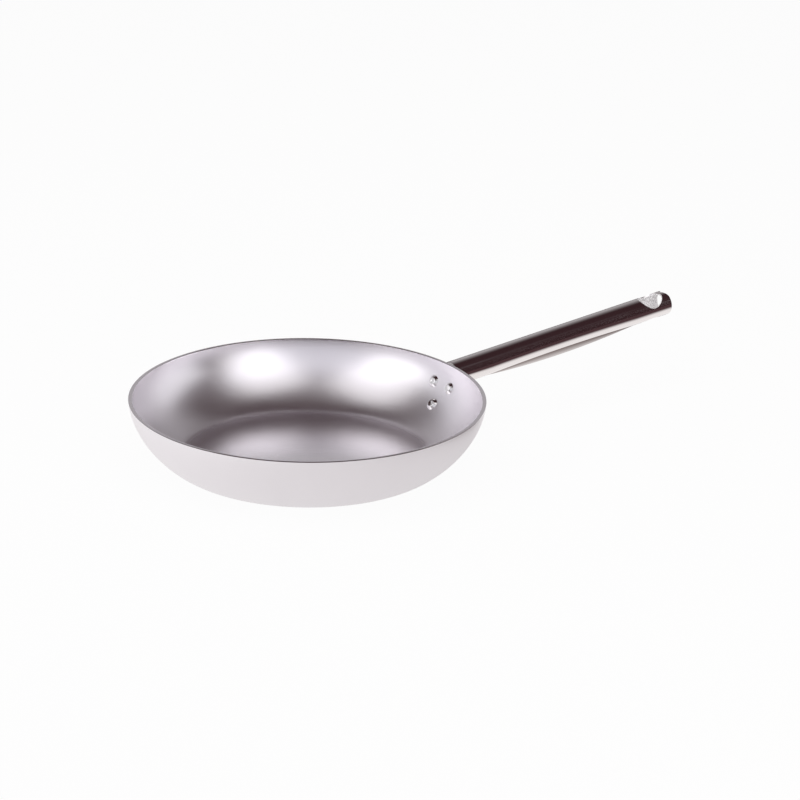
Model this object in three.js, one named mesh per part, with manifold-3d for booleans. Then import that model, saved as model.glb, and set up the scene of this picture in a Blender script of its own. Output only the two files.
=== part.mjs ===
// A catering frying pan: a thick pressed pan body, a tubular handle folded from sheet on a root
// plate, and the three rivets that hold the plate to the wall. Millimetres, +Z up, origin at
// the centre of the underside, handle along +X.
import * as THREE from 'three';
import { mergeVertices } from 'three/addons/utils/BufferGeometryUtils.js';
import Module from 'manifold-3d';

// Pan body
const rimDiameter = 280;
const panHeight = 52.3;
const panWall = 3;
const baseDiameter = 198;
const baseLead = 9.4; // how far the wall curve stays level as it leaves the flat base
const rimLead = 29.3; // how far the wall curve stays straight below the rim
const rimLean = THREE.MathUtils.degToRad(4.3); // lean of the wall at the rim, from upright

// Handle tube
const handleReach = 227.1; // from the rim's radius to the tip, along the handle
const tipRound = 3.5; // rounding of the tip's upper corner, seen from the side
const handleRise = THREE.MathUtils.degToRad(4.8); // slope of the handle, from level
const handleTopLift = 0.5; // height of the handle's top line over the rim
const handleDiameter = 20.4;
const handleSheet = 1.5;
const waistDrawIn = 0.6; // how much smaller the tube's radius is at the middle of the grip
const seamGap = 2; // open slit between the sheet's two edges, under the tube
const seamEdge = 0.4; // least depth of the turned-down edges beside the slit
const keelDepth = 5.4; // depth of the turned-down edges at the middle of the grip
const keelMiddle = 113; // middle of the grip, from the rim's radius along the handle
const keelLength = 154;
const mouthLength = 14; // length over which the tube's lower half is cut back from the wall

// Root plate
const plateGap = 0.3; // between the root plate and the pan's wall
const plateTopDrop = 1; // top of the plate below the rim
const plateArchMargin = 0.8; // how far the plate's arch stands out round the tube
const plateMargin = 9; // from a rivet's middle to the plate's edge

// Hanging hole, an oval right through the tube
const hangHoleLength = 23;
const hangHoleWidth = 17.8;
const hangHoleFromTip = 17.6; // from the tip to the middle of the hole
const hangHoleLean = THREE.MathUtils.degToRad(17); // lean of the hole to the handle's right, from upright

// Rivets
const rivetSpread = 20.3; // between the two upper rivets
const upperRivetDrop = 17.1; // below the rim, on the inside of the wall
const lowerRivetDrop = 31.6;
const shankDiameter = 5;
const shankClearance = 0.3;
const headDiameter = 10;
const headHeight = 1.9;
const headEdgeRound = 0.9;
const headDish = 0.7; // depth of the shallow dish in the head
const headSeat = 0.3;
const headSetBack = 0.25; // how far the head's edge stands off further, over the curved wall
const tailDiameter = 9;
const tailHeight = 2.4;
const tailSeat = 0.3;

// Smoothness of the facets
const roundSteps = 88;
const wallSteps = 12;
const sheetSteps = 12;
const gripSteps = 16;
const curveSteps = 5;
const rivetSteps = 16;
const holeSteps = 32;

const rimRadius = rimDiameter / 2;
const baseRadius = baseDiameter / 2;
const tubeRadius = handleDiameter / 2;
const wasm = await Module();
wasm.setup();

// The outside of the wall, from the flat base to the rim, as radius and height.
const wallCurve = new THREE.CubicBezierCurve(
  new THREE.Vector2(baseRadius, 0),
  new THREE.Vector2(baseRadius + baseLead, 0),
  new THREE.Vector2(rimRadius - rimLead * Math.sin(rimLean), panHeight - rimLead * Math.cos(rimLean)),
  new THREE.Vector2(rimRadius, panHeight),
);
const wallLength = wallCurve.getLength();

// A point of the wall at a length from the base, moved out by an offset, with its directions.
function wallAt(length, offset) {
  const t = wallCurve.getUtoTmapping(length / wallLength);
  const tangent = wallCurve.getTangent(t);
  const outward = new THREE.Vector2(tangent.y, -tangent.x);
  const point = wallCurve.getPoint(t).addScaledVector(outward, offset);
  return { point, tangent, outward };
}

// The length up the wall, found by halving, at which an offset face is a drop below the rim.
function wallLengthAtDrop(drop, offset) {
  let low = 0;
  let high = wallLength;
  while (high - low > 1e-6) {
    const middle = (low + high) / 2;
    if (wallAt(middle, offset).point.y < panHeight - drop) low = middle;
    else high = middle;
  }
  return (low + high) / 2;
}

// Points along an offset face of the wall, from the base up to a length.
function wallPoints(topLength, offset) {
  const points = [];
  for (let i = 0; i <= wallSteps; i += 1) points.push(wallAt((topLength * i) / wallSteps, offset).point);
  return points;
}

// A closed geometry with its shared points merged and its empty triangles left out, as a solid.
function solidOf(geometry) {
  const bare = geometry.clone();
  bare.deleteAttribute('normal');
  bare.deleteAttribute('uv');
  const merged = mergeVertices(bare, 1e-4);
  const corners = merged.index.array;
  const kept = [];
  for (let i = 0; i < corners.length; i += 3) {
    const [a, b, c] = [corners[i], corners[i + 1], corners[i + 2]];
    if (a !== b && b !== c && c !== a) kept.push(a, b, c);
  }
  const mesh = new wasm.Mesh({
    numProp: 3,
    vertProperties: Float32Array.from(merged.attributes.position.array),
    triVerts: Uint32Array.from(kept),
  });
  return new wasm.Manifold(mesh);
}

function geometryOf(solid) {
  const mesh = solid.getMesh();
  const geometry = new THREE.BufferGeometry();
  geometry.setAttribute('position', new THREE.BufferAttribute(mesh.vertProperties, 3));
  geometry.setIndex(new THREE.BufferAttribute(mesh.triVerts, 1));
  geometry.computeVertexNormals();
  return geometry;
}

// A solid turned about the pan's upright axis, from a profile of radius and height.
function turned(profile) {
  return solidOf(new THREE.LatheGeometry(profile, roundSteps).rotateX(Math.PI / 2));
}

function piece(name, geometry, color, roughness) {
  const material = new THREE.MeshStandardMaterial({ color, roughness, metalness: 1 });
  const mesh = new THREE.Mesh(geometry, material);
  mesh.name = name;
  return mesh;
}

// Rivets stand square to the wall: each place is a matrix whose Y axis points out through the
// wall, with its origin on the wall's inside face.
function rivetPlace(drop, side) {
  const { point, outward } = wallAt(wallLengthAtDrop(drop, -panWall), -panWall);
  const turn = new THREE.Matrix4().makeRotationZ(Math.asin(side / point.x));
  const tilt = new THREE.Matrix4().makeBasis(
    new THREE.Vector3(-outward.y, 0, outward.x),
    new THREE.Vector3(outward.x, 0, outward.y),
    new THREE.Vector3(0, 1, 0),
  );
  tilt.setPosition(point.x, 0, point.y);
  return turn.multiply(tilt);
}

const rivetPlaces = {
  rivet_upper_left: rivetPlace(upperRivetDrop, rivetSpread / 2),
  rivet_upper_right: rivetPlace(upperRivetDrop, -rivetSpread / 2),
  rivet_lower: rivetPlace(lowerRivetDrop, 0),
};

// What a rivet closes on: the wall, the gap and the root plate.
const rivetGrip = panWall + plateGap + handleSheet;

function withoutRivetHoles(solid) {
  const radius = shankDiameter / 2 + shankClearance;
  const hole = new THREE.CylinderGeometry(radius, radius, 4 * rivetGrip, rivetSteps);
  return Object.values(rivetPlaces).reduce(
    (rest, place) => rest.subtract(solidOf(hole.clone().applyMatrix4(place))),
    solid,
  );
}

// Pan body: one turned shell, flat underneath, with a level rim.
function panBody() {
  const inside = wallPoints(wallLengthAtDrop(0, -panWall), -panWall).reverse();
  const axis = (height) => new THREE.Vector2(0, height);
  return withoutRivetHoles(turned([axis(0), ...wallPoints(wallLength, 0), ...inside, axis(panWall)]));
}

// A rivet: a dished head with a rounded edge inside the pan, a shank, and a domed tail outside.
function rivet(place) {
  const shank = shankDiameter / 2;
  const head = headDiameter / 2;
  const tail = tailDiameter / 2;
  const headFace = -headSeat - headHeight;
  const tailFace = rivetGrip + tailSeat;
  const profile = new THREE.Path();
  profile.moveTo(0, headFace + headDish);
  profile.quadraticCurveTo(head - 2 * headEdgeRound, headFace, head - headEdgeRound, headFace);
  profile.quadraticCurveTo(head, headFace, head, headFace + headEdgeRound);
  profile.lineTo(head, -headSeat - headSetBack);
  profile.lineTo(shank, -headSeat);
  profile.lineTo(shank, tailFace);
  profile.lineTo(tail, tailFace);
  profile.quadraticCurveTo(tail, tailFace + tailHeight, 0, tailFace + tailHeight);
  return solidOf(new THREE.LatheGeometry(profile.getPoints(curveSteps), rivetSteps).applyMatrix4(place));
}

// The handle's own directions in the upright plane through its middle, and a point of that
// plane at a length from the rim's radius and a height over the tube's top line.
const handleWay = new THREE.Vector2(Math.cos(handleRise), Math.sin(handleRise));
const handleUp = new THREE.Vector2(-handleWay.y, handleWay.x);

function handlePoint(along, height) {
  const start = new THREE.Vector2(rimRadius, panHeight + handleTopLift);
  return start.addScaledVector(handleWay, along).addScaledVector(handleUp, height);
}

// How far along the belly of the grip a place is: 1 at its middle, 0 at and past its ends.
function belly(along) {
  return Math.max(0, 1 - ((along - keelMiddle) / (keelLength / 2)) ** 2);
}

// One face of the sheet across the tube, from the top round to the slit and down its edge,
// as side and height under the top line. Inset is 0 outside and the sheet's thickness inside.
function tubeFace(radius, inset, edgeDepth) {
  const arcRadius = radius - inset;
  const edgeSide = seamGap / 2 + handleSheet - inset;
  const arcEnd = Math.PI - Math.asin(edgeSide / arcRadius);
  const points = [];
  for (let i = 0; i <= sheetSteps; i += 1) {
    const angle = (arcEnd * i) / sheetSteps;
    points.push([arcRadius * Math.sin(angle), arcRadius * Math.cos(angle) - radius]);
  }
  const slitHeight = -radius - Math.sqrt(radius ** 2 - (seamGap / 2 + handleSheet) ** 2);
  points.push([edgeSide, slitHeight - edgeDepth]);
  return points;
}

// A ring round the sheet at a length along the handle: over the outside, then back inside.
function tubeRing(along) {
  const radius = tubeRadius - waistDrawIn * belly(along);
  const edgeDepth = seamEdge + (keelDepth - seamEdge) * belly(along);
  const acrossFace = (inset) => {
    const half = tubeFace(radius, inset, edgeDepth);
    const otherHalf = half.slice(1).reverse().map(([side, height]) => [-side, height]);
    return [...otherHalf, ...half];
  };
  const ring = [...acrossFace(0), ...acrossFace(handleSheet).reverse()];
  return ring.map(([side, height]) => {
    const { x, y } = handlePoint(along, height);
    return new THREE.Vector3(x, side, y);
  });
}

// A closed skin over a run of rings, with both ends of the sheet.
function sheetSolid(rings) {
  const count = rings[0].length;
  const corners = [];
  const quad = (a, b, c, d) => corners.push(a, b, c, a, c, d);
  for (let start = 0; start < (rings.length - 1) * count; start += count) {
    for (let i = 0; i < count; i += 1) {
      const next = (i + 1) % count;
      quad(start + i, start + count + i, start + count + next, start + next);
    }
  }
  const last = (rings.length - 1) * count;
  for (let i = 0; i + 1 < count / 2; i += 1) {
    const [a, b, c, d] = [i, i + 1, count - 2 - i, count - 1 - i];
    quad(a, b, c, d);
    quad(last + d, last + c, last + b, last + a);
  }
  const geometry = new THREE.BufferGeometry();
  const positions = rings.flat().flatMap((p) => p.toArray());
  geometry.setAttribute('position', new THREE.Float32BufferAttribute(positions, 3));
  geometry.setIndex(corners);
  return solidOf(geometry);
}

// A solid that fills the pan and carries on over the rim, with its side at an offset from the wall.
function panPlug(offset) {
  const { point, tangent } = wallAt(wallLength, offset);
  const over = point.clone().addScaledVector(tangent, handleDiameter);
  const side = [...wallPoints(wallLength, offset), over];
  return turned([new THREE.Vector2(0, side[0].y), ...side, new THREE.Vector2(0, over.y)]);
}

// A prism through the handle's middle plane, from an outline of lengths and heights.
function crossPrism(outline) {
  const shape = new THREE.Shape(outline.map(([along, height]) => handlePoint(along, height)));
  const prism = new THREE.ExtrudeGeometry(shape, { depth: 2 * handleDiameter, bevelEnabled: false });
  return solidOf(prism.translate(0, 0, -handleDiameter).rotateX(Math.PI / 2));
}

// The tube, run in to the middle of the root plate's thickness, with its lower half cut back
// from the wall to leave room for the rivets' tails.
function handleTube() {
  const start = baseRadius - rimRadius;
  const gripStart = keelMiddle - keelLength / 2;
  const gripEnd = keelMiddle + keelLength / 2;
  const rings = [tubeRing(start)];
  for (let i = 0; i <= gripSteps; i += 1) {
    rings.push(tubeRing(THREE.MathUtils.lerp(gripStart, gripEnd, i / gripSteps)));
  }
  rings.push(tubeRing(handleReach));
  const mouth = crossPrism([
    [start, -tubeRadius], [0, -tubeRadius], [mouthLength, -2 * tubeRadius - seamEdge],
    [mouthLength, -2 * handleDiameter], [start, -2 * handleDiameter],
  ]);
  return sheetSolid(rings).subtract(panPlug(plateGap + handleSheet / 2)).subtract(mouth);
}

// The root plate's outline, as side and height: a rounded shield round the rivets and the tube.
function plateOutline() {
  const atPlate = new THREE.Vector3(0, rivetGrip, 0);
  const places = Object.values(rivetPlaces).map((place) => atPlate.clone().applyMatrix4(place));
  const [left, right, lower] = places.map(({ y, z }) => ({ side: y, height: z, radius: plateMargin }));
  const archRadius = tubeRadius + plateArchMargin;
  const arch = { side: 0, height: panHeight - plateTopDrop - archRadius, radius: archRadius };
  const rounds = [lower, left, arch, right];
  const outwardAngle = (from, to) => {
    const across = new THREE.Vector2(to.side - from.side, to.height - from.height);
    return across.angle() - Math.acos((from.radius - to.radius) / across.length());
  };
  const shape = new THREE.Shape();
  rounds.forEach((round, i) => {
    const before = rounds.at(i - 1);
    const after = rounds[(i + 1) % rounds.length];
    shape.absarc(round.side, round.height, round.radius, outwardAngle(before, round), outwardAngle(round, after));
  });
  return shape;
}

// The root plate: a shell just outside the wall, within that outline.
function rootPlate() {
  const shell = panPlug(plateGap + handleSheet).subtract(panPlug(plateGap));
  const options = { depth: rimRadius, bevelEnabled: false, curveSegments: holeSteps };
  const prism = new THREE.ExtrudeGeometry(plateOutline(), options);
  prism.rotateX(Math.PI / 2).rotateZ(Math.PI / 2).translate(baseRadius, 0, 0);
  return shell.intersect(solidOf(prism));
}

// The oval cutter of the hanging hole, through the tube's middle.
function hangHole() {
  const middle = handlePoint(handleReach - hangHoleFromTip, -tubeRadius);
  const across = hangHoleWidth / 2;
  const cutter = new THREE.CylinderGeometry(across, across, 2 * handleDiameter, holeSteps);
  cutter.scale(hangHoleLength / hangHoleWidth, 1, 1).rotateX(Math.PI / 2 + hangHoleLean);
  return solidOf(cutter.rotateY(-handleRise).translate(middle.x, 0, middle.y));
}

// What the rounding takes off the upper corner of the tip.
function tipCorner() {
  const outside = handleReach + tipRound;
  const outline = [[outside, -tipRound], [outside, tipRound], [handleReach - tipRound, tipRound]];
  for (let i = 0; i <= curveSteps; i += 1) {
    const angle = (Math.PI / 2) * (1 - i / curveSteps);
    outline.push([handleReach - tipRound * (1 - Math.cos(angle)), -tipRound * (1 - Math.sin(angle))]);
  }
  return crossPrism(outline);
}

function handle() {
  const tube = handleTube().subtract(hangHole()).subtract(tipCorner());
  return tube.add(withoutRivetHoles(rootPlate()));
}

const pan = new THREE.Group();
pan.add(piece('pan_body', geometryOf(panBody()), 0xd6d5d4, 0.38));
pan.add(piece('handle', geometryOf(handle()), 0xb4adab, 0.16));
for (const [name, place] of Object.entries(rivetPlaces)) {
  pan.add(piece(name, geometryOf(rivet(place)), 0xdedcda, 0.3));
}

export default pan;
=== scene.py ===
# %% [markdown]
# # A catering frying pan
# The pan is a thick aluminium pressing with a curved wall, and its handle is a steel tube
# that three rivets hold on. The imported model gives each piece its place, so this lesson
# loads it first and then builds a smoother skin over each of its five pieces, in metres.

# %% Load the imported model
import math

import bmesh
import bpy
from mathutils import Matrix, Vector
from mathutils.bvhtree import BVHTree
from mathutils.geometry import interpolate_bezier


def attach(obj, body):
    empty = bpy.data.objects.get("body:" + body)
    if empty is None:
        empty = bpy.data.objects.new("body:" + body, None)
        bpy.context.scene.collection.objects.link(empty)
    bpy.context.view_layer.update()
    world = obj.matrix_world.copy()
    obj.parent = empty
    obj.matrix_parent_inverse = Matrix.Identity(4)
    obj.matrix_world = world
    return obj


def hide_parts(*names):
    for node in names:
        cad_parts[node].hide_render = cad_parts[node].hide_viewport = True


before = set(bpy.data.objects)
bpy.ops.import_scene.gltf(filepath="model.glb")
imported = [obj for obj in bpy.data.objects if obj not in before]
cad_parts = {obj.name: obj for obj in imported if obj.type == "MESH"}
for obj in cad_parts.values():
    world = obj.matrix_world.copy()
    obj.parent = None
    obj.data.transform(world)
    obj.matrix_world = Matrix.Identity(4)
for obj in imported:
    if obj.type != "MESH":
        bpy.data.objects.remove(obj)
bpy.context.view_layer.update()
print("packed nodes:", sorted(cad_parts))

# %% [markdown]
# ## The camera
# The picture is taken with a long lens from about two and a half metres, so the rim is an
# even ellipse. Distance, pitch and heading give the camera's axes, and its matrix is put
# together from them. A constraint that tracks an empty would also aim it, but could not
# hold the slight tilt of the picture.

# %% Place the camera
MM = 0.001
RIM_RADIUS = 140 * MM
PAN_HEIGHT = 52.3 * MM
PICTURE_PIXELS = 800
PIXELS_PER_METRE = 1278.7
camera_distance = 2.6
camera_pitch = math.radians(20.37)
camera_heading = math.radians(37)
camera_roll = math.radians(1.11)
aim_right = 72.3 * MM
aim_down = 1.1 * MM

right = Vector((math.cos(camera_heading), -math.sin(camera_heading), 0))
forward = Vector((math.sin(camera_heading), math.cos(camera_heading), 0))
upright = Vector((0, 0, 1))
look = forward * math.cos(camera_pitch) - upright * math.sin(camera_pitch)
over = forward * math.sin(camera_pitch) + upright * math.cos(camera_pitch)
aim = upright * PAN_HEIGHT + right * aim_right - over * aim_down
place = aim - look * camera_distance
across = right * math.cos(camera_roll) + over * math.sin(camera_roll)
rise = over * math.cos(camera_roll) - right * math.sin(camera_roll)

lens = bpy.data.cameras.new("camera")
lens.sensor_width = 36
lens.lens = PIXELS_PER_METRE * camera_distance * lens.sensor_width / PICTURE_PIXELS
camera = bpy.data.objects.new("camera", lens)
camera.matrix_world = Matrix((across, rise, -look)).transposed().to_4x4()
camera.location = place
bpy.context.scene.collection.objects.link(camera)
bpy.context.scene.camera = camera
bpy.context.scene.view_settings.view_transform = "Standard"
print("camera at", [round(c, 3) for c in place], "lens", round(lens.lens, 1))

# %% [markdown]
# ## Helpers for meshes
# Every piece is shaped in a bmesh, away from any object, and becomes an object at the
# origin at the end. Edges that turn sharply are marked, so that the rest shades smoothly.

# %% Turn a bmesh into a piece
SHARP_TURN = math.radians(32)


def finished(bm, name, slot, *nodes):
    mesh = bpy.data.meshes.new(name)
    bm.to_mesh(mesh)
    bm.free()
    mesh.shade_smooth()
    mesh.set_sharp_from_angle(angle=SHARP_TURN)
    piece = bpy.data.objects.new(name, mesh)
    bpy.context.scene.collection.objects.link(piece)
    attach(piece, "root")
    if nodes:
        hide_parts(*nodes)
    print(name, "has", len(mesh.polygons), "faces")
    return piece


def everything(bm):
    return bm.verts[:] + bm.edges[:] + bm.faces[:]


def only_verts(items):
    return [item for item in items if isinstance(item, bmesh.types.BMVert)]


def rounded(bm, edges, offset, segments):
    """Round or break some edges."""
    bmesh.ops.bevel(
        bm, geom=edges, offset=offset, affect="EDGES", segments=segments, profile=0.5, material=-1,
    )


# %% [markdown]
# ## The pan body
# The real body is pressed from one disc: a flat base, a round cove and a wall that leans
# out. Half of that outline is a Bezier curve, which is spun about the upright axis.
# A lathe-like spin keeps the rings even, so that the metal shows clean reflections. The
# curve turns up quickly beside the base, and that shows as the light line round it.

# %% Spin the outside of the pan
PAN_WALL = 3 * MM
BASE_RADIUS = 99 * MM
base_lead = 9.4 * MM
rim_lead = 29.3 * MM
rim_lean = math.radians(4.3)
wall_points = 112
round_steps = 192
base_rings = (0, 60 * MM, 85 * MM, 95 * MM, 98 * MM)
pole_merge = 0.001 * MM

rim_way = Vector((math.sin(rim_lean), 0, math.cos(rim_lean)))
rim_edge = Vector((RIM_RADIUS, 0, PAN_HEIGHT))
wall_curve = interpolate_bezier(
    Vector((BASE_RADIUS, 0, 0)),
    Vector((BASE_RADIUS + base_lead, 0, 0)),
    rim_edge - rim_way * rim_lead,
    rim_edge,
    wall_points,
)
outline = [Vector((radius, 0, 0)) for radius in base_rings]
outline += wall_curve + [rim_edge + rim_way * PAN_WALL]

pan = bmesh.new()
chain = [pan.verts.new(point) for point in outline]
for low, high in zip(chain, chain[1:]):
    pan.edges.new((low, high))
bmesh.ops.spin(
    pan, geom=everything(pan), cent=(0, 0, 0), axis=upright, angle=2 * math.pi,
    steps=round_steps, use_merge=True, use_duplicate=False,
)
bmesh.ops.remove_doubles(pan, verts=pan.verts[:], dist=pole_merge)
bmesh.ops.recalc_face_normals(pan, faces=pan.faces[:])
lowest = min(pan.faces, key=lambda face: face.calc_center_median().z)
if lowest.normal.z > 0:
    bmesh.ops.reverse_faces(pan, faces=pan.faces[:])
print("outside of the pan:", len(pan.faces), "faces")

# %% [markdown]
# The wall gets its thickness inwards, a level cut trims it, and the rim bridges its two
# edges. The real rim is turned to a slight crown, so its near and far parts mirror the dim
# ceiling as a thin dark line. The bridge is divided across and its rings lifted, and then
# both edges are broken slightly.

# %% Give the pan its wall and its crowned rim
rim_crown = 0.4 * MM
rim_rings = 5
rim_break = 0.15 * MM
rim_segments = 2

bmesh.ops.solidify(pan, geom=everything(pan), thickness=PAN_WALL)
bmesh.ops.bisect_plane(
    pan, geom=everything(pan), plane_co=rim_edge - upright * rim_crown, plane_no=upright,
    clear_outer=True,
)
cut_edges = [edge for edge in pan.edges if edge.is_boundary]
bridged = bmesh.ops.bridge_loops(pan, edges=cut_edges)["edges"]
bmesh.ops.recalc_face_normals(pan, faces=pan.faces[:])
divided = bmesh.ops.subdivide_edges(pan, edges=bridged, cuts=rim_rings, use_grid_fill=True)
rim_verts = {vert for edge in bridged for vert in edge.verts}
rim_verts.update(only_verts(divided["geom_inner"]))
inner_rim = min(vert.co.xy.length for vert in rim_verts)
outer_rim = max(vert.co.xy.length for vert in rim_verts)
for vert in rim_verts:
    from_middle = (2 * vert.co.xy.length - inner_rim - outer_rim) / (outer_rim - inner_rim)
    vert.co.z += rim_crown * (1 - from_middle * from_middle)
rim_corners = [edge for edge in pan.edges if edge.calc_face_angle() > SHARP_TURN]
rounded(pan, rim_corners, rim_break, rim_segments)
print("rim from", round(inner_rim, 5), "to", round(outer_rim, 5))
heights = [vert.co.z for vert in pan.verts]
print("pan stands from", round(min(heights), 5), "to", round(max(heights), 5))
pan_surface = BVHTree.FromBMesh(pan)
pan_body = finished(pan, "pan_shell", "satin_aluminium", "pan_body")

# %% [markdown]
# ## The rivets
# Each rivet has a flat-topped head with a sloping edge inside the pan, marked by the tool in
# the middle, and a domed tail outside. One is built on the Z axis by extruding a disc step by
# step, and copies are set square on the wall, where a ray from the pan's axis meets it.

# %% Build one rivet
HANDLE_SHEET = 1.5 * MM
PLATE_GAP = 0.3 * MM
rivet_steps = 64
head_radius = 5 * MM
head_height = 2.15 * MM
head_flat = 3.0 * MM
head_side = 0.2 * MM
head_soften = 0.3 * MM
mark_radius = 1.1 * MM
mark_depth = 0.3 * MM
mark_soften = 0.25 * MM
head_segments = 3
shank_radius = 2.5 * MM
tail_radius = 4.5 * MM
tail_height = 2.4 * MM
tail_round = 2.0 * MM
tail_segments = 6
head_seat = 0.05 * MM
tail_seat = PAN_WALL + PLATE_GAP + HANDLE_SHEET + head_seat


def lowest_face(bm):
    return min(bm.faces, key=lambda face: face.calc_center_median().z)


def rivet_bmesh():
    bm = bmesh.new()
    bmesh.ops.create_circle(bm, cap_ends=True, radius=head_flat, segments=rivet_steps)
    bmesh.ops.translate(bm, verts=bm.verts[:], vec=(0, 0, -head_seat - head_height))
    made = bmesh.ops.extrude_face_region(bm, geom=bm.faces[:])["geom"]
    top = next(item for item in made if isinstance(item, bmesh.types.BMFace))
    slope = head_radius / head_flat
    bmesh.ops.scale(bm, verts=top.verts[:], vec=(slope, slope, 1))
    bmesh.ops.translate(bm, verts=top.verts[:], vec=(0, 0, head_height - head_side))
    for radius, height in (
        (head_radius, -head_seat),
        (shank_radius, -head_seat),
        (shank_radius, tail_seat),
        (tail_radius, tail_seat),
        (tail_radius, tail_seat + tail_height),
    ):
        top = bmesh.ops.extrude_discrete_faces(bm, faces=[top])["faces"][0]
        spread = radius / top.verts[0].co.xy.length
        bmesh.ops.scale(bm, verts=top.verts[:], vec=(spread, spread, 1))
        bmesh.ops.translate(bm, verts=top.verts[:], vec=(0, 0, height - top.verts[0].co.z))
    bmesh.ops.recalc_face_normals(bm, faces=bm.faces[:])
    rounded(bm, top.edges[:], tail_round, tail_segments)
    rounded(bm, lowest_face(bm).edges[:], head_soften, head_segments)
    mark = lowest_face(bm)
    bmesh.ops.inset_region(bm, faces=[mark], thickness=head_flat - mark_radius, depth=0)
    bmesh.ops.translate(bm, verts=mark.verts[:], vec=(0, 0, mark_depth))
    rounded(bm, mark.edges[:], mark_soften, head_segments)
    return bm


print("a rivet is", round(head_height + head_seat + tail_seat + tail_height, 5), "long")

# %% Set the three rivets square on the wall
RIVETS = {
    "rivet_upper_left": (17.1 * MM, 10.15 * MM),
    "rivet_upper_right": (17.1 * MM, -10.15 * MM),
    "rivet_lower": (31.6 * MM, 0),
}


def wall_spot(drop, side):
    """Where the inside of the wall is a drop under the rim and to one side of the handle."""
    start = Vector((0, 0, PAN_HEIGHT - drop))
    spot, inward, *_ = pan_surface.ray_cast(start, Vector((1, 0, 0)))
    turn = Matrix.Rotation(math.asin(side / spot.x), 3, "Z")
    return turn @ spot, -(turn @ inward)


rivets = []
for node, (drop, side) in RIVETS.items():
    spot, outward = wall_spot(drop, side)
    square = outward.to_track_quat("Z", "Y").to_matrix().to_4x4()
    bm = rivet_bmesh()
    bmesh.ops.transform(bm, verts=bm.verts[:], matrix=square)
    bmesh.ops.translate(bm, verts=bm.verts[:], vec=spot)
    rivets.append(finished(bm, node + "_turned", "rivet_metal", node))

# %% [markdown]
# ## The handle's tube
# The real handle is a strip of steel rolled into a tube. Its two long edges nearly meet
# underneath and turn down there, deepest at the middle of the grip. The section is spun
# from one vertex, mirrored and extruded along the handle, and only then is it drawn in at
# the waist, which keeps every ring clean. An attribute marks the painted shade that
# darkens the crease beside the edges.

# %% Roll the strip into a tube
TUBE_RADIUS = 10.2 * MM
handle_reach = 227.1 * MM
handle_start = -12 * MM
seam_gap = 2 * MM
seam_edge = 0.4 * MM
edge_bend = 0.45 * MM
lip_least = 0.02 * MM
mirror_merge = 0.01 * MM
arc_steps = 60
bend_steps = 6
length_steps = 120
# Where the painted shade of the crease starts, how softly it fades in, and how much of it the
# lip's end gets.
crease_shade_top = -19.3 * MM
crease_shade_fade = 0.7 * MM
lip_shade = 0.1

edge_side = seam_gap / 2 + HANDLE_SHEET
bend_turn = math.acos((edge_side + edge_bend) / (TUBE_RADIUS + edge_bend))
bend_drop = TUBE_RADIUS + math.sin(bend_turn) * (TUBE_RADIUS + edge_bend)
edge_drop = TUBE_RADIUS + math.sqrt(TUBE_RADIUS ** 2 - edge_side ** 2) + seam_edge

tube = bmesh.new()
crease_shade = tube.verts.layers.float.new("crease_shade")
top_point = tube.verts.new((handle_start, 0, 0))
arc_end = bmesh.ops.spin(
    tube, geom=[top_point], cent=(handle_start, 0, -TUBE_RADIUS), axis=(1, 0, 0),
    angle=-math.pi / 2 - bend_turn, steps=arc_steps,
)["geom_last"]
bend_end = bmesh.ops.spin(
    tube, geom=arc_end, cent=(handle_start, edge_side + edge_bend, -bend_drop), axis=(1, 0, 0),
    angle=bend_turn, steps=bend_steps,
)["geom_last"]
lip = bmesh.ops.extrude_vert_indiv(tube, verts=bend_end)["verts"]
lip_drop = max(edge_drop, bend_drop + lip_least)
bmesh.ops.translate(tube, verts=lip, vec=(0, 0, bend_drop - lip_drop))
lip_height = (lip[0].co.z + bend_end[0].co.z) / 2
# Painted shade: a weight on each point darkens the tube's bottom beside the folded edges, where
# shade falls in the crease, and the lip's end gets a little of it.
for vert in tube.verts:
    vert[crease_shade] = max(0, min(1, (crease_shade_top - vert.co.z) / crease_shade_fade))
lip[0][crease_shade] = lip_shade
bmesh.ops.mirror(tube, geom=everything(tube), axis="Y", merge_dist=mirror_merge)
section = tube.edges[:]
stride = (handle_reach - handle_start) / length_steps
for step in range(length_steps):
    grown = bmesh.ops.extrude_edge_only(tube, edges=section)["geom"]
    bmesh.ops.translate(tube, verts=only_verts(grown), vec=(stride, 0, 0))
    section = [item for item in grown if isinstance(item, bmesh.types.BMEdge)
               and abs(item.verts[0].co.x - item.verts[1].co.x) < stride / 2]
print("rolled strip:", len(tube.faces), "faces")

# %% [markdown]
# The grip's waist and the turned-down edges follow the same soft hump along the handle.
# The strip is still without thickness, so flat cuts trim it: under the mouth, where the
# rivets need room, and in steps round the tip's upper corner.

# %% Draw in the waist and trim the ends
waist_draw = 0.6 * MM
keel_depth = 5.4 * MM
keel_middle = 113 * MM
keel_length = 154 * MM
mouth_length = 14 * MM
edge_lean = 0.6 * MM
tip_round = 3.5 * MM
tip_steps = 8
tip_inset = 0.02 * MM

for vert in tube.verts:
    hump = max(0, 1 - ((vert.co.x - keel_middle) / (keel_length / 2)) ** 2)
    under = vert.co.z < lip_height
    vert.co.yz *= 1 - waist_draw / TUBE_RADIUS * hump
    if under:
        vert.co.z -= (keel_depth - seam_edge) * hump
        vert.co.y -= math.copysign(edge_lean * hump, vert.co.y)


def trim(bm, point, outward):
    """Cut away what lies beyond a plane."""
    bmesh.ops.bisect_plane(
        bm, geom=everything(bm), plane_co=point, plane_no=outward, clear_outer=True,
    )


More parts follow.
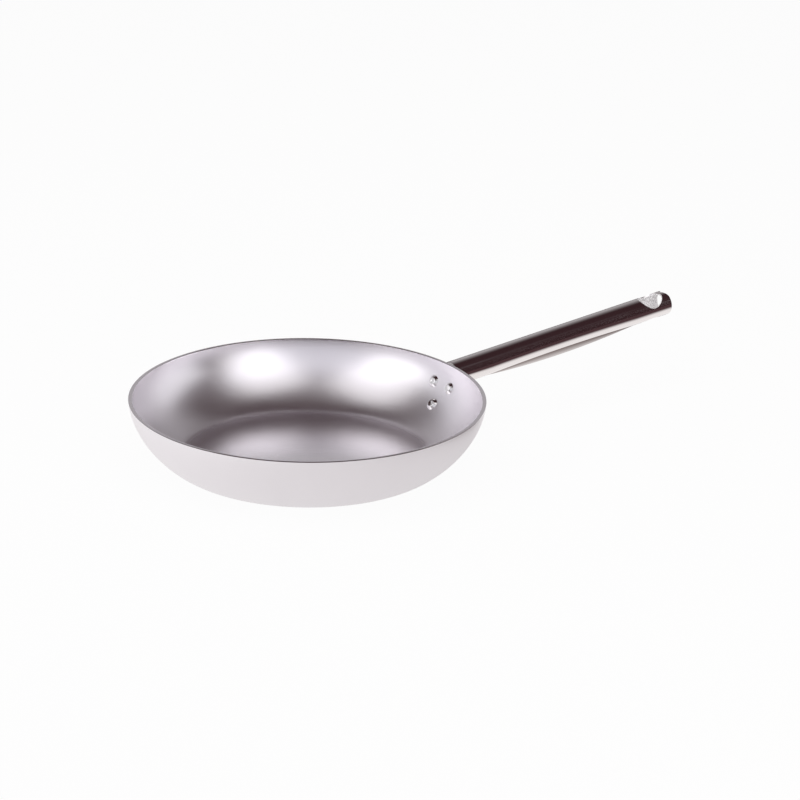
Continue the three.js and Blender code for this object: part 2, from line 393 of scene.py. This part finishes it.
mouth_way = Vector((mouth_length, 0, -TUBE_RADIUS - seam_edge))
trim(tube, Vector((0, 0, -TUBE_RADIUS)), Vector((mouth_way.z, 0, -mouth_way.x)))
tip_corner = Vector((handle_reach - tip_round, 0, -tip_round))
for step in range(tip_steps):
    angle = math.pi / 2 * (step + 0.5) / tip_steps
    outward = Vector((math.sin(angle), 0, math.cos(angle)))
    trim(tube, tip_corner + outward * (tip_round - tip_inset), outward)
print("rounded the tip in", tip_steps, "cuts")

# %% [markdown]
# The hanging hole is an oval drilled right through the tube, leaning a little to one side.
# A Boolean would do, but its slivers spoil the polish. Here every edge that crosses the
# oval is split where it crosses, the new points are joined, and the sheet inside goes.

# %% Drill the hanging hole
hole_length = 23 * MM
hole_width = 17.8 * MM
hole_from_tip = 17.6 * MM
hole_lean = math.radians(17)
hole_merge = 0.3 * MM
halvings = 20

hole_centre = Vector((handle_reach - hole_from_tip, 0, -TUBE_RADIUS))
hole_across = Vector((0, math.cos(hole_lean), math.sin(hole_lean)))


def in_hole(point):
    """Whether a point is inside the oval, as seen along the drill."""
    away = point - hole_centre
    return math.hypot(2 * away.x / hole_length, 2 * away.dot(hole_across) / hole_width) < 1


crossings = []
for edge in tube.edges[:]:
    start, end = (vert.co.copy() for vert in edge.verts)
    if in_hole(start) == in_hole(end):
        continue
    near, far = 0.0, 1.0
    for halving in range(halvings):
        middle = (near + far) / 2
        same_side = in_hole(start.lerp(end, middle)) == in_hole(start)
        near, far = (middle, far) if same_side else (near, middle)
    crossings.append(bmesh.utils.edge_split(edge, edge.verts[0], near)[1])
bmesh.ops.connect_verts(tube, verts=crossings)
drilled = [face for face in tube.faces if in_hole(face.calc_center_median())]
bmesh.ops.delete(tube, geom=drilled, context="FACES")
closest = {}
for vert in crossings:
    for edge in vert.link_edges:
        other = edge.other_vert(vert)
        if not other.is_boundary and edge.calc_length() < hole_merge:
            closest[other] = vert
bmesh.ops.weld_verts(tube, targetmap=closest)
print("hole edge has", len(crossings), "points")

# %% [markdown]
# The finished strip is turned up to the handle's rise and cut off along the pan's wall. Two
# rays from outside find the wall's slope there.

# %% Set the handle on the pan
handle_rise = math.radians(4.8)
top_lift = 0.5 * MM
high_drop = 1 * MM
outside_pan = 200 * MM
inwards = Vector((-1, 0, 0))

handle_place = Matrix.Translation((RIM_RADIUS, 0, PAN_HEIGHT + top_lift))
handle_frame = handle_place @ Matrix.Rotation(-handle_rise, 4, "Y")
bmesh.ops.transform(tube, matrix=handle_frame, verts=tube.verts[:])
high, *_ = pan_surface.ray_cast(Vector((outside_pan, 0, PAN_HEIGHT - high_drop)), inwards)
low, *_ = pan_surface.ray_cast(Vector((outside_pan, 0, PAN_HEIGHT - TUBE_RADIUS)), inwards)
wall_in = (high - low).cross(Vector((0, 1, 0))).normalized()
if wall_in.x > 0:
    wall_in = -wall_in
trim(tube, high - wall_in * (PLATE_GAP + HANDLE_SHEET / 2), wall_in)
lengths = [vert.co.x for vert in tube.verts]
print("tube runs from", round(min(lengths), 4), "to", round(max(lengths), 4))

# %% [markdown]
# Now the strip gets its thickness inwards, so its outside stays where it was drawn. The
# points of the inner face are marked, because the inside of the tube stays pale and matt.

# %% Give the tube its thickness
bmesh.ops.recalc_face_normals(tube, faces=tube.faces[:])
highest = max(tube.faces, key=lambda face: face.calc_center_median().z)
if highest.normal.z < 0:
    bmesh.ops.reverse_faces(tube, faces=tube.faces[:])
inner = tube.verts.layers.float.new("inner")
grown = bmesh.ops.solidify(tube, geom=everything(tube), thickness=HANDLE_SHEET)["geom"]
inner_points = only_verts(grown)
for vert in inner_points:
    vert[inner] = 1
print("inner face has", len(inner_points), "of", len(tube.verts), "points")
handle_tube = finished(tube, "handle_tube", "polished_steel", "handle")

# %% [markdown]
# The sheet's cut edges are never knife sharp. A Bevel modifier breaks them all by a few
# tenths of a millimetre, only where two faces meet at a steep angle.

# %% Break the tube's cut edges
STEEP_TURN = math.radians(50)
tube_break = 0.3 * MM


def break_edges(piece, width):
    edge_break = piece.modifiers.new("edge_break", "BEVEL")
    edge_break.width = width
    edge_break.segments = 2
    edge_break.limit_method = "ANGLE"
    edge_break.angle_limit = STEEP_TURN


break_edges(handle_tube, tube_break)
print("tube's edges broken by", tube_break)

# %% [markdown]
# ## The root plate
# A shield of the same sheet joins the tube to the pan, pressed to the wall's curve. A grid
# is cut to the shield's outline by planes that touch circles round the rivets and the
# tube, since the outline is rounded outwards everywhere. Rays then press it on the wall.

# %% Cut the shield and press it on the wall
plate_margin = 9 * MM
plate_top_drop = 1 * MM
plate_break = 0.35 * MM
arch_margin = 0.8 * MM
outline_turns = 72
grid_half = 30 * MM
grid_cells = 60

arch_radius = TUBE_RADIUS + arch_margin
rounds = [(0, PAN_HEIGHT - plate_top_drop - arch_radius, arch_radius)]
for drop, side in RIVETS.values():
    spot, outward = wall_spot(drop, side)
    centre = spot + outward * (tail_seat - head_seat)
    rounds.append((centre.y, centre.z, plate_margin))

grid_place = Matrix.Translation((outside_pan, 0, PAN_HEIGHT / 2))
plate = bmesh.new()
bmesh.ops.create_grid(
    plate, x_segments=grid_cells, y_segments=grid_cells, size=grid_half,
    matrix=grid_place @ Matrix.Rotation(math.pi / 2, 4, "Y"),
)
for turn in range(outline_turns):
    angle = 2 * math.pi * turn / outline_turns
    outward = Vector((0, math.cos(angle), math.sin(angle)))
    reach = max(side * outward.y + height * outward.z + radius for side, height, radius in rounds)
    trim(plate, outward * reach, outward)
for vert in plate.verts:
    spot, wall_out, *_ = pan_surface.ray_cast(vert.co, inwards)
    vert.co = spot + wall_out * PLATE_GAP
bmesh.ops.recalc_face_normals(plate, faces=plate.faces[:])
plate.faces.ensure_lookup_table()
if plate.faces[0].normal.x > 0:
    bmesh.ops.reverse_faces(plate, faces=plate.faces[:])
bmesh.ops.solidify(plate, geom=everything(plate), thickness=HANDLE_SHEET)
root_plate = finished(plate, "handle_root_plate", "polished_steel")
break_edges(root_plate, plate_break)

# %% [markdown]
# ## Writing finishes
# A finish is a small network of shader nodes. One class keeps the network and adds a node
# of any type with its settings and sockets. The other wraps a node's output, so that sums
# and products can be written as they are on paper. A noise is given by its scale and
# detail, a bump by its strength and depth, and a soft step by its start and end.

# %% Two helpers for shader networks
class Wire:
    """An output of a node. Arithmetic on it adds Math nodes."""

    def __init__(self, recipe, socket):
        self.recipe = recipe
        self.socket = socket

    def __add__(self, other):
        return self.recipe.maths("ADD", self, other)

    def __sub__(self, other):
        return self.recipe.maths("SUBTRACT", self, other)

    def __rsub__(self, other):
        return self.recipe.maths("SUBTRACT", other, self)

    def __mul__(self, other):
        return self.recipe.maths("MULTIPLY", self, other)

    __radd__ = __add__
    __rmul__ = __mul__


class Recipe:
    """The node network of one finish."""

    def __init__(self, owner):
        owner.use_nodes = True
        self.tree = owner.node_tree
        self.tree.nodes.clear()

    def node(self, kind, settings=(), sockets=(), output=0):
        made = self.tree.nodes.new(kind)
        for name, value in dict(settings).items():
            setattr(made, name, value)
        for name, value in dict(sockets).items():
            if isinstance(value, Wire):
                self.tree.links.new(value.socket, made.inputs[name])
            else:
                made.inputs[name].default_value = value
        return Wire(self, made.outputs[output]) if made.outputs else None

    def maths(self, operation, *values):
        return self.node("ShaderNodeMath", {"operation": operation}, dict(enumerate(values)))

    def vectors(self, operation, first, second, output=0):
        sockets = {0: first, 1: second}
        return self.node("ShaderNodeVectorMath", {"operation": operation}, sockets, output)

    def reach(self, vector, way):
        """How far a vector reaches along a direction."""
        return self.vectors("DOT_PRODUCT", vector, way, "Value")

    def axis(self, vector, name):
        return self.node("ShaderNodeSeparateXYZ", {}, {"Vector": vector}, name)

    def noise(self, place, scale, detail):
        sockets = {"Vector": place, "Scale": scale, "Detail": detail}
        return self.node("ShaderNodeTexNoise", {}, sockets)

    def bump(self, height, strength, distance):
        sockets = {"Height": height, "Strength": strength, "Distance": distance}
        return self.node("ShaderNodeBump", {}, sockets)

    def blend(self, factor, first, second):
        """Mix two colours by a factor."""
        sockets = {0: factor, 6: first, 7: second}
        return self.node("ShaderNodeMix", {"data_type": "RGBA"}, sockets, output=2)

    def ramp(self, value, start, end):
        """A soft step from 0 at the start to 1 at the end."""
        sockets = {"Value": value, "From Min": start, "From Max": end}
        return self.node("ShaderNodeMapRange", {"interpolation_type": "SMOOTHSTEP"}, sockets)

    def mixed(self, factor, first, second):
        """Mix two shaders by a factor."""
        return self.node("ShaderNodeMixShader", {}, {0: factor, 1: first, 2: second})

    def attribute(self, name):
        return self.node("ShaderNodeAttribute", {"attribute_name": name}, output="Fac")

    def spot(self):
        """The place on the piece, in metres from the origin."""
        return self.node("ShaderNodeTexCoord", output="Object")

    def light_path(self, kind):
        """1 where a ray is of this kind."""
        return self.node("ShaderNodeLightPath", output=kind)

    def seen(self):
        """1 where the camera sees the surface, straight or through something clear."""
        return self.light_path("Is Camera Ray") + self.light_path("Is Transmission Ray")

    def metal(self, tone, metallic, gloss, bump):
        return self.node("ShaderNodeBsdfPrincipled", {}, {
            "Base Color": tone, "Metallic": metallic, "Roughness": gloss, "Normal": bump,
        })


def dressed(name, recipe_for, *pieces):
    finish = bpy.data.materials.new(name)
    recipe = Recipe(finish)
    surface = recipe_for(recipe)
    recipe.node("ShaderNodeOutputMaterial", {}, {"Surface": surface})
    for piece in pieces:
        piece.data.materials.clear()
        piece.data.materials.append(finish)
    print(name, "uses", len(recipe.tree.nodes), "nodes")


# %% [markdown]
# ## Satin aluminium
# The body has a pale satin skin with a very fine grain, which breaks up its soft
# reflections. The base is turned smoother than the wall, and the rim is polished. Noise at
# three sizes makes the grain, the speckle and the cloudy change in gloss and tone, and a
# sine of the radius makes the faint turning marks.

# %% Finish the pan body
satin_dark = (0.84, 0.813, 0.842, 1)
satin_pale = (0.90, 0.873, 0.902, 1)
satin_roughness = 0.27
cloud_roughness = 0.04
speckle_roughness = 0.08
base_polish = 0.45
base_polish_from = 102 * MM
base_polish_to = 90 * MM
rim_polish = 0.35
rim_polish_from = -1.5 * MM
rim_polish_to = -0.7 * MM
grain_noise = (2600, 3)
speckle_noise = (1000, 2)
cloud_noise = (22, 3)
turning_rate = 9000
turning_waver = 14
grain_height = 0.25
turning_height = 0.06
satin_bump = (0.3, 0.2 * MM)


def satin_aluminium(recipe):
    spot = recipe.spot()
    under_rim = recipe.axis(spot, "Z") - PAN_HEIGHT
    grain = recipe.noise(spot, *grain_noise)
    speckle = recipe.noise(spot, *speckle_noise)
    cloud = recipe.noise(spot, *cloud_noise)
    flat = recipe.vectors("MULTIPLY", spot, (1, 1, 0))
    radius = recipe.node("ShaderNodeVectorMath", {"operation": "LENGTH"}, {0: flat}, "Value")
    turning = recipe.maths("SINE", radius * turning_rate + cloud * turning_waver)
    bump = recipe.bump(grain * grain_height + turning * turning_height, *satin_bump)
    tone = recipe.blend(cloud, satin_dark, satin_pale)
    base = recipe.ramp(radius, base_polish_from, base_polish_to)
    rim = recipe.ramp(under_rim, rim_polish_from, rim_polish_to)
    gloss = satin_roughness + cloud * cloud_roughness + speckle * speckle_roughness
    gloss = gloss * (1 - base * base_polish) * (1 - rim * rim_polish)
    return recipe.metal(tone, 1.0, gloss, bump)


dressed("satin_aluminium", satin_aluminium, pan_body)

# %% [markdown]
# ## Polished steel
# The handle is rolled strip, so its polish has fine lines along its length. Noise that is
# stretched along the handle draws them, and a slow noise adds the smears of a hand. The
# crease beside the folded edges is darkened with painted shade, and the inside of the tube
# is pale and matt.

# %% Finish the handle
steel_dark = (0.77, 0.73, 0.725, 1)
steel_pale = (0.84, 0.805, 0.80, 1)
# The dark brown of the painted shade in the crease beside the folded edges.
crease_shade_tone = (0.26, 0.21, 0.2, 1)
inside_tone = (0.97, 0.965, 0.96, 1)
line_stretch = 0.02
line_noise = (1800, 2)
smear_noise = (45, 4)
steel_bump = (0.03, 0.1 * MM)
steel_roughness = 0.07
smear_roughness = 0.05
line_roughness = 0.03
inside_roughness = 0.4


def polished_steel(recipe):
    spot = recipe.spot()
    along = recipe.node("ShaderNodeMapping", {}, {
        "Vector": spot, "Rotation": (0, handle_rise, 0), "Scale": (line_stretch, 1, 1),
    })
    lines = recipe.noise(along, *line_noise)
    smears = recipe.noise(spot, *smear_noise)
    bump = recipe.bump(lines, *steel_bump)
    crease_shade = recipe.attribute("crease_shade")
    inner = recipe.attribute("inner")
    tone = recipe.blend(smears, steel_dark, steel_pale)
    # Painted shade: the crease beside the folded edges is darkened to a dark brown.
    tone = recipe.blend(crease_shade, tone, crease_shade_tone)
    tone = recipe.blend(inner, tone, inside_tone)
    gloss = steel_roughness + smears * smear_roughness + lines * line_roughness
    gloss = gloss + inner * inside_roughness
    return recipe.metal(tone, 1 - inner, gloss, bump)


dressed("polished_steel", polished_steel, handle_tube, root_plate)

# %% [markdown]
# ## Rivet metal
# The rivets are bright aluminium that a riveting tool has pressed, so the heads are smooth
# with faint scuffs. A fine noise gives the scuffs in the relief, the gloss and the tone.

# %% Finish the rivets
rivet_dark = (0.82, 0.81, 0.81, 1)
rivet_pale = (0.92, 0.91, 0.90, 1)
rivet_roughness = 0.1
scuff_roughness = 0.1
scuff_noise = (1100, 4)
rivet_bump = (0.08, 0.2 * MM)


def rivet_metal(recipe):
    scuffs = recipe.noise(recipe.spot(), *scuff_noise)
    bump = recipe.bump(scuffs, *rivet_bump)
    tone = recipe.blend(scuffs, rivet_dark, rivet_pale)
    gloss = rivet_roughness + scuffs * scuff_roughness
    return recipe.metal(tone, 1.0, gloss, bump)


dressed("rivet_metal", rivet_metal, *rivets)

# %% [markdown]
# ## The floor
# The pan stands on a plain pale floor. The camera sees it lifted to white, but part of it
# stays a lit surface, so the pan keeps its shadow. Metal sees a painted pool of light on it:
# the floor glows all round the pan and under the handle, a little less towards the right.
# Beyond that strip, at the handle's sides, it is painted dim, and its reflection darkens the
# handle's sides, as the dim floor does on the real handle.

# %% Lay the floor
floor_half = 6.0
floor_drop = 0.2 * MM

ground = bmesh.new()
bmesh.ops.create_grid(ground, x_segments=1, y_segments=1, size=floor_half)
bmesh.ops.translate(ground, verts=ground.verts[:], vec=(0, 0, -floor_drop))
floor_mesh = bpy.data.meshes.new("floor")
ground.to_mesh(floor_mesh)
ground.free()
floor = bpy.data.objects.new("floor", floor_mesh)
bpy.context.scene.collection.objects.link(floor)
print("floor is", 2 * floor_half, "metres wide")

# %% Finish the floor
white = (1, 1, 1, 1)
floor_tone = (0.8, 0.79, 0.785, 1)
# The painted dim floor beyond the pool of light, and the painted glow of the pool, both seen only
# in reflections.
floor_painted_dim = (0.1, 0.055, 0.06, 1)
floor_painted_glow = (1, 0.985, 0.98, 1)
floor_lift = 0.95
strip_half = 32 * MM
strip_fade = 110 * MM
pan_clear = 190 * MM
pan_fade = 250 * MM
handle_from = 100 * MM
handle_to = 200 * MM
# How the painted pool's glow falls off from the left to the right.
level_half = 200 * MM
left_level = 0.98
right_level = 0.72


def pale_floor(recipe):
    spot = recipe.spot()
    x = recipe.axis(spot, "X")
    y = recipe.axis(spot, "Y")
    beside = recipe.ramp(recipe.maths("ABSOLUTE", y), strip_half, strip_fade)
    outside = recipe.ramp(recipe.maths("SQRT", x * x + y * y), pan_clear, pan_fade)
    ahead = recipe.ramp(x, handle_from, handle_to)
    level = recipe.node("ShaderNodeMapRange", {}, {
        "Value": recipe.reach(spot, right), "From Min": -level_half, "From Max": level_half,
        "To Min": left_level, "To Max": right_level,
    })
    # Painted light: a pool of glow round the pan and under the handle, a little less towards the
    # right, and painted dim outside it, seen only by reflected rays.
    bright = level + (1 - level) * ahead * (1 - beside)
    bright = bright * (1 - beside * outside * ahead)
    lit = recipe.node("ShaderNodeBsdfDiffuse", {}, {"Color": floor_tone})
    dim = recipe.node("ShaderNodeBsdfDiffuse", {}, {"Color": floor_painted_dim})
    painted_glow = recipe.node("ShaderNodeEmission", {}, {"Color": floor_painted_glow, "Strength": 1.0})
    plain = recipe.node("ShaderNodeEmission", {}, {"Color": white, "Strength": 1.0})
    looked_at = recipe.mixed(recipe.seen(), lit, recipe.mixed(floor_lift, lit, plain))
    return recipe.mixed(
        recipe.light_path("Is Glossy Ray"), looked_at, recipe.mixed(bright, dim, painted_glow),
    )


dressed("pale_floor", pale_floor, floor)

# %% [markdown]
# ## The lamps
# Two large soft boxes stand in front of the pan, one at each side, and make the two soft
# patches on the far wall. A third hangs overhead. It only lights the floor and casts the
# shadow, so metal doesn't mirror it.

# %% Set up the lamps
box_pitch = math.radians(40)
box_distance = 1.2


def soft_box(name, heading, pitch, distance, size, power, mirrored=True):
    way = right * math.sin(heading) - forward * math.cos(heading)
    way = way * math.cos(pitch) + upright * math.sin(pitch)
    lamp = bpy.data.lights.new(name, "AREA")
    lamp.shape = "RECTANGLE"
    lamp.size, lamp.size_y = size
    lamp.energy = power
    box = bpy.data.objects.new(name, lamp)
    box.location = upright * PAN_HEIGHT / 2 + way * distance
    box.rotation_euler = way.to_track_quat("Z", "Y").to_euler()
    box.visible_camera = False
    box.visible_glossy = mirrored
    bpy.context.scene.collection.objects.link(box)


soft_box(
    "soft_box_left", heading=math.radians(-67), pitch=box_pitch, distance=box_distance,
    size=(1.0, 1.5), power=4.7,
)
soft_box(
    "soft_box_right", heading=math.radians(44), pitch=box_pitch, distance=box_distance,
    size=(0.9, 1.5), power=4.2,
)
soft_box(
    "soft_box_top", heading=0, pitch=math.radians(90), distance=2.0,
    size=(2.5, 2.5), power=20, mirrored=False,
)
print("lamps:", [lamp.name for lamp in bpy.data.lights])

# %% [markdown]
# ## The studio
# The metal mirrors the studio. It is pale in front, grey behind, dim and warm overhead and
# high at the right, and light low at both sides. Soft steps of the direction's height, its
# reach ahead and its reach to the right draw these parts. The camera sees it all white, as
# it sees the floor.

# %% Set up the studio
dim_ceiling = (0.042, 0.02, 0.023, 1)
pale_front = (0.7, 0.69, 0.74, 1)
grey_behind = (0.42, 0.405, 0.415, 1)
white_right = (1, 0.99, 1.02, 1)
grey_left = (0.7, 0.69, 0.72, 1)
low_step = (0.5, 0.36)
front_step = (-0.05, -0.5)
front_top = (0.87, 0.62)
behind_step = (0.36, 0.62)
behind_top = (0.97, 0.42)
dim_right_step = (0.82, 0.62)
right_step = (0.6, 0.85)
right_back_step = (-0.22, -0.12)
left_step = (-0.5, -0.8)


def dim_studio(recipe):
    way = recipe.node("ShaderNodeTexCoord", output="Generated")
    height = recipe.axis(way, "Z")
    ahead = recipe.reach(way, forward)
    side = recipe.reach(way, right)
    low = recipe.ramp(height, *low_step)
    in_front = recipe.ramp(ahead, *front_step) * recipe.ramp(height, *front_top)
    behind = recipe.ramp(ahead, *behind_step) * recipe.ramp(height, *behind_top)
    right_back = low * recipe.ramp(side, *right_step) * recipe.ramp(ahead, *right_back_step)
    left_low = low * recipe.ramp(side, *left_step)
    sky = recipe.blend(in_front, dim_ceiling, pale_front)
    sky = recipe.blend(behind, sky, grey_behind)
    sky = recipe.blend(recipe.ramp(side, *dim_right_step), dim_ceiling, sky)
    sky = recipe.blend(right_back, sky, white_right)
    sky = recipe.blend(left_low, sky, grey_left)
    shown = recipe.blend(recipe.seen(), sky, white)
    return recipe.node("ShaderNodeBackground", {}, {"Color": shown, "Strength": 1.0})


world = bpy.data.worlds.new("studio")
bpy.context.scene.world = world
studio = Recipe(world)
studio.node("ShaderNodeOutputWorld", {}, {"Surface": dim_studio(studio)})
print("studio uses", len(studio.tree.nodes), "nodes")
